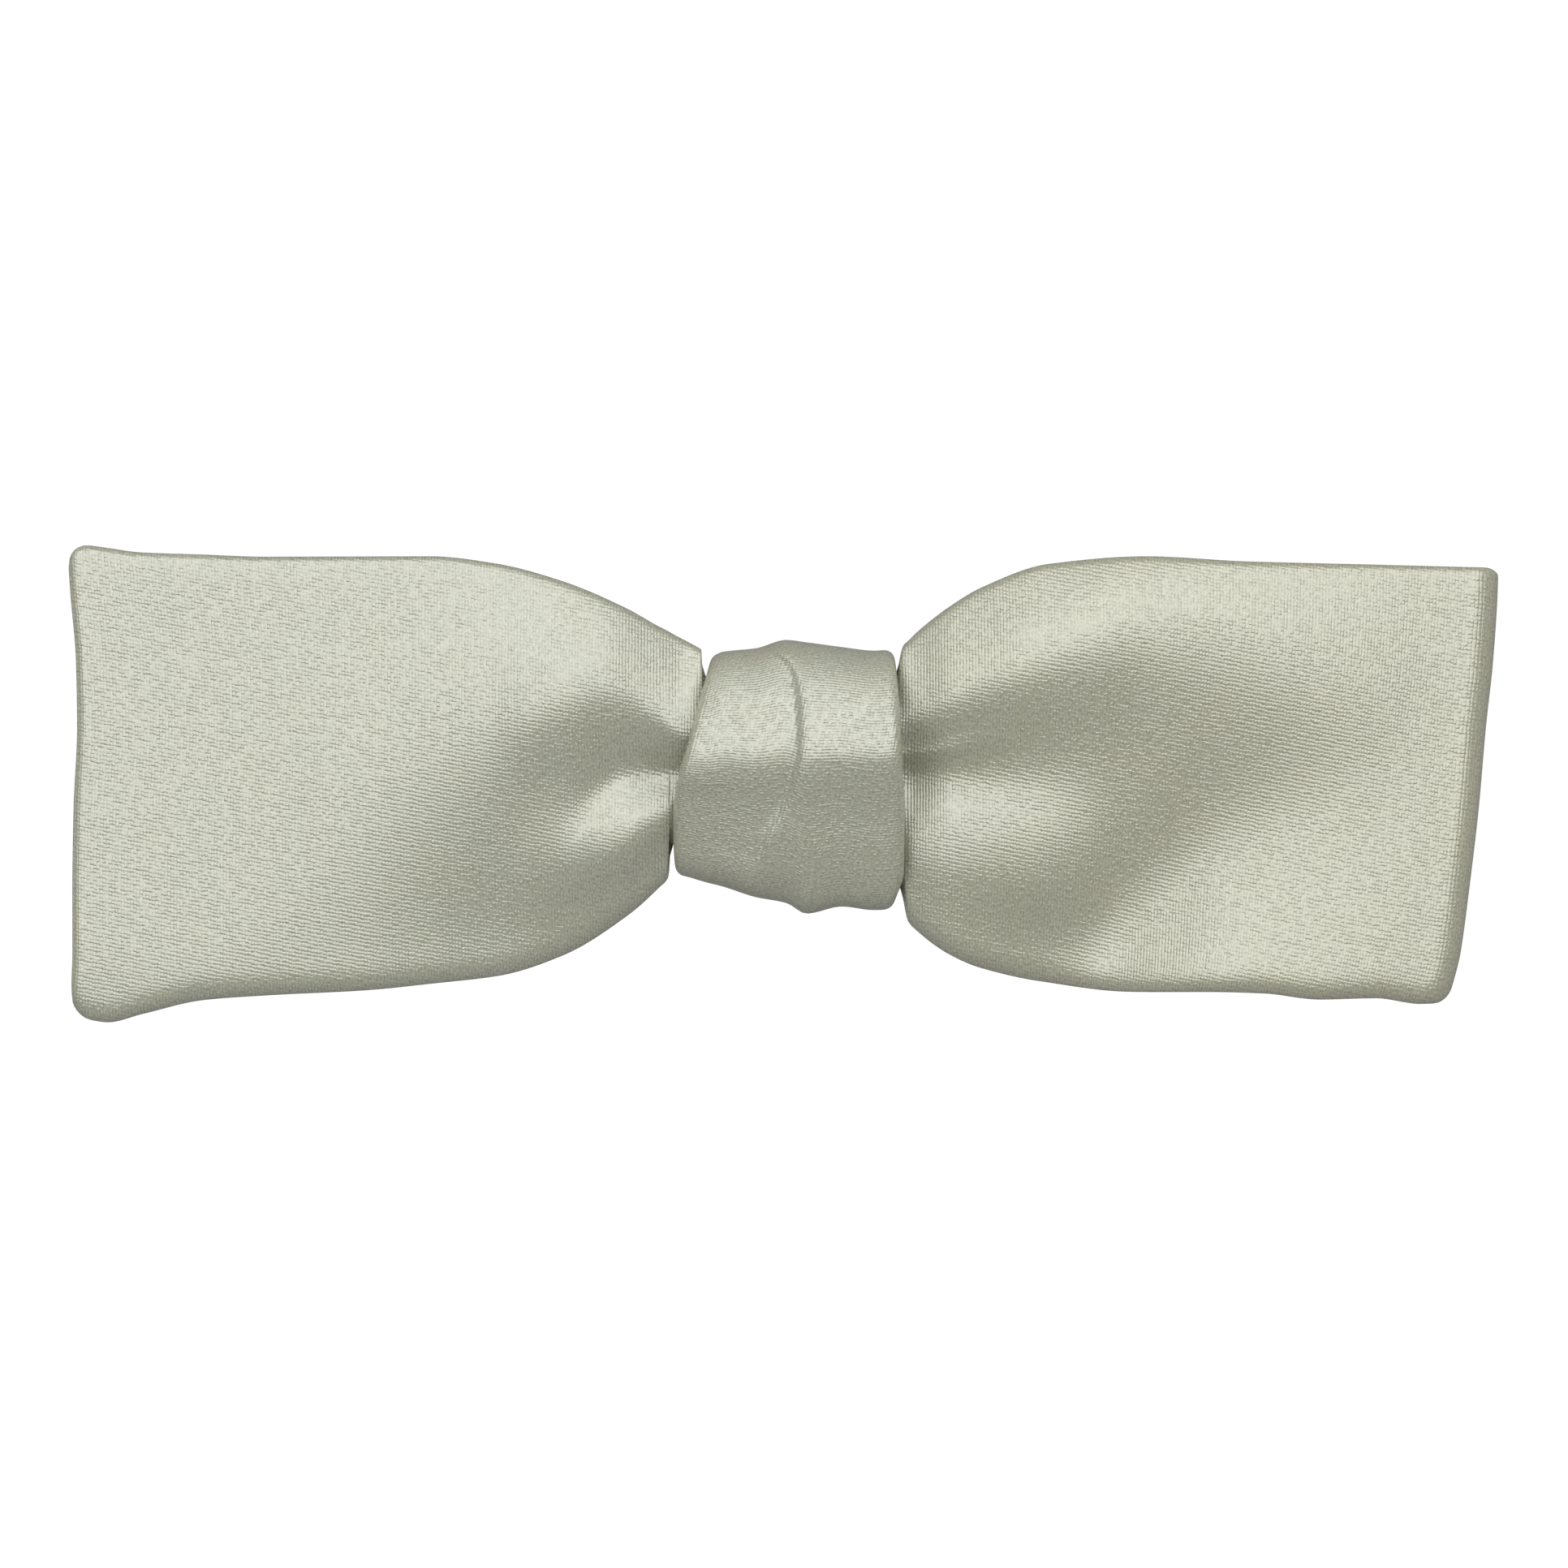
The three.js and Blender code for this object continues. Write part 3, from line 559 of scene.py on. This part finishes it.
def skin(name, rings, weave_at, joined):
    """A mesh over closed rings of points, its last ring joined to its first one or both capped.

    Its UV map holds the place in the weave in millimetres.
    """
    count, size = rings.shape[:2]
    index = np.arange(count * size).reshape(count, size)
    spans = count if joined else count - 1
    here, after = index[:spans], np.roll(index, -1, axis=0)[:spans]
    quads = np.stack([here, after, np.roll(after, -1, axis=1), np.roll(here, -1, axis=1)], -1)
    faces = quads.reshape(-1, 4).tolist()
    if not joined:
        faces += list(end_cap(index[0]))
        faces += [corners[::-1] for corners in end_cap(index[-1])]
    mesh = bpy.data.meshes.new(name)
    mesh.from_pydata((rings.reshape(-1, 3) * MM).tolist(), [], faces)
    layer = mesh.uv_layers.new(name="weave")
    corner = np.empty(len(mesh.loops), np.int32)
    mesh.loops.foreach_get("vertex_index", corner)
    layer.data.foreach_set("uv", weave_at.reshape(-1, 2)[corner].astype(np.float32).ravel())
    mesh.polygons.foreach_set("use_smooth", np.ones(len(mesh.polygons), bool))
    mesh.update()
    face_outward(mesh)
    return add_object(name, mesh)


def face_outward(mesh):
    """Turn all the faces over where their volume shows that the mesh is inside out."""
    points = np.empty(len(mesh.vertices) * 3)
    mesh.vertices.foreach_get("co", points)
    mesh.calc_loop_triangles()
    corners = np.empty(len(mesh.loop_triangles) * 3, np.int32)
    mesh.loop_triangles.foreach_get("vertices", corners)
    a, b, c = np.moveaxis(points.reshape(-1, 3)[corners.reshape(-1, 3)], 1, 0)
    if (a * np.cross(b, c)).sum() < 0:
        mesh.flip_normals()


def add_object(name, data):
    obj = bpy.data.objects.new(name, data)
    bpy.context.scene.collection.objects.link(obj)
    return obj


# Materials

# Sizes of the weave are in millimetres, as in its UV map, and the satin step is in float lengths.
YARN_PITCH = 0.26
YARN_DRIFT = 0.08
YARN_DRIFTS_PER_MM = 0.7
FLOAT_LENGTH = 0.33
FLOAT_DRIFT = 0.3
FLOAT_DRIFTS_PER_MM = 1.7
SATIN_STEP = 0.16
FIBRES_PER_MM = 7.5
FIBRE_TURNS_PER_MM = 3.6

# Depth of the bump, and the shares of the floats, the yarns and the fibres in it.
WEAVE_DEPTH = 0.041 * MM
FLOAT_SHARE = 0.68
YARN_SHARE = 0.5
FIBRE_SHARE = 0.4
LOWEST_FLOAT = 0.4
HIGHEST_FLOAT = 1.3
BOW_UNEVENNESS = 0.2
KNOT_UNEVENNESS = 0.8

IVORY_COOL = (0.480, 0.494, 0.392, 1)
IVORY_WARM = (0.512, 0.494, 0.364, 1)
# Painted shade: the darker ivory that the gaps of the weave are mixed towards.
IVORY_PAINTED_SHADE = (0.235, 0.232, 0.178, 1)
# The ivory warms between these two distances along the strip, and in patches.
WARMER_FROM = 30.0
WARMEST_FROM = 110.0
WARMTH_ALONG_STRIP = 0.6
PATCHES_PER_MM = 0.22
PATCH_DETAIL = 3
PATCH_EDGE = 0.40
PATCH_MIDDLE = 0.70
WARMTH_OF_PATCHES = 0.5
# Painted shade: the ivory is darker between the yarns, at the ends of the floats and between the fibres,
# where shade falls in the weave.
FLOAT_END_UP_TO = 0.4
SHOWN_AT_FLOAT_END = 0.4
LEAST_SHADE_IN_GAPS = 0.05
RANDOM_SHADE_IN_GAPS = 0.3
FIBRE_CREST = 0.68
FIBRE_TROUGH = 0.30
SHADE_BETWEEN_FIBRES = 0.62
SATIN_ROUGHNESS = 0.26
SATIN_IOR = 1.98
SATIN_SPECULAR = 1.0

# The scales of the nickel's grain and wear are per metre.
NICKEL_DULL = (0.60, 0.59, 0.56, 1)
NICKEL_BRIGHT = (0.70, 0.69, 0.67, 1)
NICKEL_GRAIN_SCALE = (120, 2400, 2400)
NICKEL_WEAR_SCALE = 160
NICKEL_DETAIL = 3
NICKEL_GRAIN_RANGE = (0.3, 0.7)
NICKEL_ROUGHNESS_RANGE = (0.26, 0.40)
NICKEL_GRAIN_DEPTH = 0.01 * MM
NICKEL_GRAIN_STRENGTH = 0.2
CLIP_EDGE_SOFTENING = 0.15 * MM
CLIP_EDGE_SEGMENTS = 2

SWEEP_GLOW = 1.05


class Nodes:
    """Short names for making the nodes of a material or the world."""

    def __init__(self, owner):
        owner.use_nodes = True
        self.tree = owner.node_tree
        self.tree.nodes.clear()

    def add(self, kind, inputs=None, **settings):
        node = self.tree.nodes.new(kind)
        for name, value in settings.items():
            setattr(node, name, value)
        for name, value in (inputs or {}).items():
            self.put(value, node.inputs[name])
        return node

    def put(self, value, socket):
        if isinstance(value, bpy.types.NodeSocket):
            self.tree.links.new(value, socket)
        else:
            socket.default_value = value

    def math(self, operation, *values, clamp=False):
        node = self.add("ShaderNodeMath", operation=operation, use_clamp=clamp)
        for value, socket in zip(values, node.inputs):
            self.put(value, socket)
        return node.outputs[0]

    def split(self, vector):
        return self.add("ShaderNodeSeparateXYZ", {"Vector": vector}).outputs

    def join(self, x, y):
        return self.add("ShaderNodeCombineXYZ", {"X": x, "Y": y}).outputs[0]

    def noise(self, vector, scale, detail=2):
        inputs = {"Vector": vector, "Scale": scale, "Detail": detail}
        return self.add("ShaderNodeTexNoise", inputs).outputs["Fac"]

    def drift(self, vector, scale, amount):
        """A smooth random value between minus and plus half the amount."""
        return self.math("MULTIPLY", self.math("SUBTRACT", self.noise(vector, scale), 0.5), amount)

    def hump(self, fraction):
        """1 in the middle of a fraction's range from 0 to 1, and 0 at both its ends."""
        from_middle = self.math("SUBTRACT", self.math("MULTIPLY", fraction, 2.0), 1.0)
        return self.math("SUBTRACT", 1.0, self.math("MULTIPLY", from_middle, from_middle))

    def mix(self, factor, a, b):
        node = self.add("ShaderNodeMix", data_type="RGBA", blend_type="MIX")
        self.put(factor, node.inputs["Factor"])
        colours = [socket for socket in node.inputs if socket.type == "RGBA"]
        self.put(a, colours[0])
        self.put(b, colours[1])
        return next(socket for socket in node.outputs if socket.type == "RGBA")

    def ramp(self, factor, *stops):
        """A soft change between two results, where the factor is between the first two stops."""
        names = ("From Min", "From Max", "To Min", "To Max")
        inputs = {"Value": factor, **dict(zip(names, stops))}
        return self.add("ShaderNodeMapRange", inputs, interpolation_type="SMOOTHSTEP").outputs["Result"]

    def bump(self, height, distance, strength=1.0):
        inputs = {"Height": height, "Distance": distance, "Strength": strength}
        return self.add("ShaderNodeBump", inputs).outputs[0]

    def surface(self, shader):
        self.add("ShaderNodeOutputMaterial", {"Surface": shader.outputs[0]})


def weave_pattern(n, place, along, across):
    """Humps of the yarns and of their floats, a random value for each float, and the fibres.

    The yarns run across the strip, and their floats lie in rows that slant a little.
    """
    along = n.math("ADD", along, n.drift(place, YARN_DRIFTS_PER_MM, YARN_DRIFT))
    yarn_place = n.math("DIVIDE", along, YARN_PITCH)
    yarn = n.math("FLOOR", yarn_place)
    drifting = n.math("ADD", across, n.drift(place, FLOAT_DRIFTS_PER_MM, FLOAT_DRIFT))
    float_place = n.math("DIVIDE", drifting, FLOAT_LENGTH)
    float_place = n.math("ADD", float_place, n.math("MULTIPLY", yarn, SATIN_STEP))
    cell = n.join(yarn, n.math("FLOOR", float_place))
    chance = n.add("ShaderNodeTexWhiteNoise", {"Vector": cell}, noise_dimensions="2D").outputs["Value"]
    round_yarn = n.hump(n.math("FRACT", yarn_place))
    float_height = n.math("MULTIPLY_ADD", chance, HIGHEST_FLOAT - LOWEST_FLOAT, LOWEST_FLOAT)
    arch = n.math("MULTIPLY", n.hump(n.math("FRACT", float_place)), float_height)
    fibre_along = n.math("MULTIPLY", along, FIBRES_PER_MM)
    fibre_across = n.math("MULTIPLY", across, FIBRE_TURNS_PER_MM)
    return round_yarn, arch, chance, n.noise(n.join(fibre_along, fibre_across), 1.0)


def satin_colour(n, place, along, round_yarn, arch, chance, fibre):
    """Ivory that warms along the strip and in patches, with painted shade in the gaps of the weave."""
    farther = n.ramp(along, WARMER_FROM, WARMEST_FROM, 0.0, WARMTH_ALONG_STRIP)
    patches = n.noise(place, PATCHES_PER_MM, PATCH_DETAIL)
    patch = n.ramp(patches, PATCH_EDGE, PATCH_MIDDLE, 0.0, WARMTH_OF_PATCHES)
    ivory = n.mix(n.math("ADD", patch, farther, clamp=True), IVORY_COOL, IVORY_WARM)
    shown = n.math("MULTIPLY", round_yarn, n.ramp(arch, 0.0, FLOAT_END_UP_TO, SHOWN_AT_FLOAT_END, 1.0))
    gap = n.math("SUBTRACT", 1.0, shown, clamp=True)
    shade = n.math("MULTIPLY_ADD", chance, RANDOM_SHADE_IN_GAPS, LEAST_SHADE_IN_GAPS)
    painted_shade_in_gaps = n.math("MULTIPLY", gap, shade)
    painted_shade_between_fibres = n.ramp(fibre, FIBRE_CREST, FIBRE_TROUGH, 0.0, SHADE_BETWEEN_FIBRES)
    # Painted shade: the colour darkens towards the shade ivory in the gaps, at the float ends and
    # between the fibres.
    return n.mix(n.math("ADD", painted_shade_in_gaps, painted_shade_between_fibres), ivory, IVORY_PAINTED_SHADE)


def satin_material(name, unevenness):
    """Ivory satin. The unevenness is how much the height of its yarns differs from float to float."""
    material = bpy.data.materials.new(name)
    n = Nodes(material)
    place = n.add("ShaderNodeUVMap", uv_map="weave").outputs[0]
    along, across = n.split(place)[:2]
    round_yarn, arch, chance, fibre = weave_pattern(n, place, along, across)
    yarn_share = n.math("MULTIPLY_ADD", chance, unevenness, YARN_SHARE - unevenness / 2)
    height = n.math("MULTIPLY", arch, FLOAT_SHARE)
    height = n.math("ADD", height, n.math("MULTIPLY", round_yarn, yarn_share))
    height = n.math("ADD", height, n.math("MULTIPLY", fibre, FIBRE_SHARE))
    inputs = {
        "Base Color": satin_colour(n, place, along, round_yarn, arch, chance, fibre),
        "Normal": n.bump(height, WEAVE_DEPTH),
        "Roughness": SATIN_ROUGHNESS,
        "IOR": SATIN_IOR,
        "Specular IOR Level": SATIN_SPECULAR,
    }
    n.surface(n.add("ShaderNodeBsdfPrincipled", inputs))
    return material


def clip_material():
    """Nickel plate with a fine grain along the clip and a little wear."""
    material = bpy.data.materials.new("nickel_plate")
    n = Nodes(material)
    place = n.add("ShaderNodeTexCoord").outputs["Object"]
    stretched = n.add("ShaderNodeMapping", {"Vector": place, "Scale": NICKEL_GRAIN_SCALE})
    grain = n.noise(stretched.outputs[0], 1.0, NICKEL_DETAIL)
    wear = n.noise(place, NICKEL_WEAR_SCALE, NICKEL_DETAIL)
    inputs = {
        "Base Color": n.mix(wear, NICKEL_DULL, NICKEL_BRIGHT),
        "Metallic": 1.0,
        "Roughness": n.ramp(grain, *NICKEL_GRAIN_RANGE, *NICKEL_ROUGHNESS_RANGE),
        "Normal": n.bump(grain, NICKEL_GRAIN_DEPTH, NICKEL_GRAIN_STRENGTH),
    }
    n.surface(n.add("ShaderNodeBsdfPrincipled", inputs))
    return material


def sweep_material():
    """White that glows by itself, so that no shadow falls on it."""
    material = bpy.data.materials.new("white_sweep")
    n = Nodes(material)
    n.surface(n.add("ShaderNodeEmission", {"Color": (1, 1, 1, 1), "Strength": SWEEP_GLOW}))
    return material


def paint(obj, material):
    obj.data.materials.clear()
    obj.data.materials.append(material)


# Pieces

bow = bow_band()
paint(bow, satin_material("bow_satin", BOW_UNEVENNESS))
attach(bow, "root")
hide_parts("bow_band")

knot = knot_wrap()
paint(knot, satin_material("knot_satin", KNOT_UNEVENNESS))
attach(knot, "root")
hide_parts("knot_wrap")

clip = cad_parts["collar_clip"]
paint(clip, clip_material())
bevel = clip.modifiers.new("soft_edges", "BEVEL")
bevel.width = CLIP_EDGE_SOFTENING
bevel.segments = CLIP_EDGE_SEGMENTS
bevel.limit_method = "ANGLE"

# Floor, light and camera, with sizes in metres but for the camera's lens and sensor

FLOOR_HALF = 2
FLOOR_DROP = 0.2 * MM

LIGHT_COLOUR = (0.99, 1.0, 0.95)
LIGHT_DISTANCE = 0.8
LIGHT_AIM = Vector((0, 0, 0.01))
# Name, tilt from straight above towards +Y in degrees, width, height and power of each light.
LIGHTS = (
    ("top_window", 22.5, 2.2, 1.47, 17.7),
    ("low_wall", -58, 1.6, 0.5, 0.65),
)
# The room is bright near the horizon and below it, and dark above, where it would dull the sheen.
RIM_LIGHT = 0.38
ROOM_LIGHT = 0.015
RIM_LIGHT_UP_TO = 0.15
ROOM_LIGHT_FROM = 0.55

PHOTO_PIXELS = 1932
PIXEL_SIZE = 0.0681 * MM
CAMERA_LENS = 100
CAMERA_SENSOR = 36
CAMERA_CLIP_START = 0.01
FRONT_LEVEL = 11 * MM


def softbox(name, tilt, width, height, power):
    """A window or a bright wall that lights the bow."""
    data = bpy.data.lights.new(name, "AREA")
    data.shape = "RECTANGLE"
    data.size = width
    data.size_y = height
    data.energy = power
    data.color = LIGHT_COLOUR
    light = add_object(name, data)
    direction = Vector((0, math.sin(math.radians(tilt)), math.cos(math.radians(tilt))))
    light.location = LIGHT_AIM + direction * LIGHT_DISTANCE
    light.rotation_euler = direction.to_track_quat("Z", "Y").to_euler()


def room():
    """Light of the room, by how far up it comes from."""
    world = bpy.data.worlds.new("studio")
    n = Nodes(world)
    up = n.split(n.add("ShaderNodeTexCoord").outputs["Generated"])[2]
    strength = n.ramp(up, RIM_LIGHT_UP_TO, ROOM_LIGHT_FROM, RIM_LIGHT, ROOM_LIGHT)
    background = n.add("ShaderNodeBackground", {"Strength": strength})
    n.add("ShaderNodeOutputWorld", {"Surface": background.outputs[0]})
    return world


floor_mesh = bpy.data.meshes.new("floor")
floor_corners = [(FLOOR_HALF * x, FLOOR_HALF * y, 0) for x, y in ((-1, -1), (1, -1), (1, 1), (-1, 1))]
floor_mesh.from_pydata(floor_corners, [], [(0, 1, 2, 3)])
floor = add_object("floor", floor_mesh)
floor.location.z = -FLOOR_DROP
floor.visible_diffuse = False
floor.visible_glossy = False
paint(floor, sweep_material())

for light in LIGHTS:
    softbox(*light)
bpy.context.scene.world = room()
bpy.context.scene.view_settings.view_transform = "Standard"

camera_data = bpy.data.cameras.new("camera")
camera_data.lens = CAMERA_LENS
camera_data.sensor_width = CAMERA_SENSOR
camera_data.clip_start = CAMERA_CLIP_START
camera = add_object("camera", camera_data)
camera_distance = PHOTO_PIXELS * PIXEL_SIZE * CAMERA_LENS / CAMERA_SENSOR
camera.location = (0, 0, FRONT_LEVEL + camera_distance)
bpy.context.scene.camera = camera
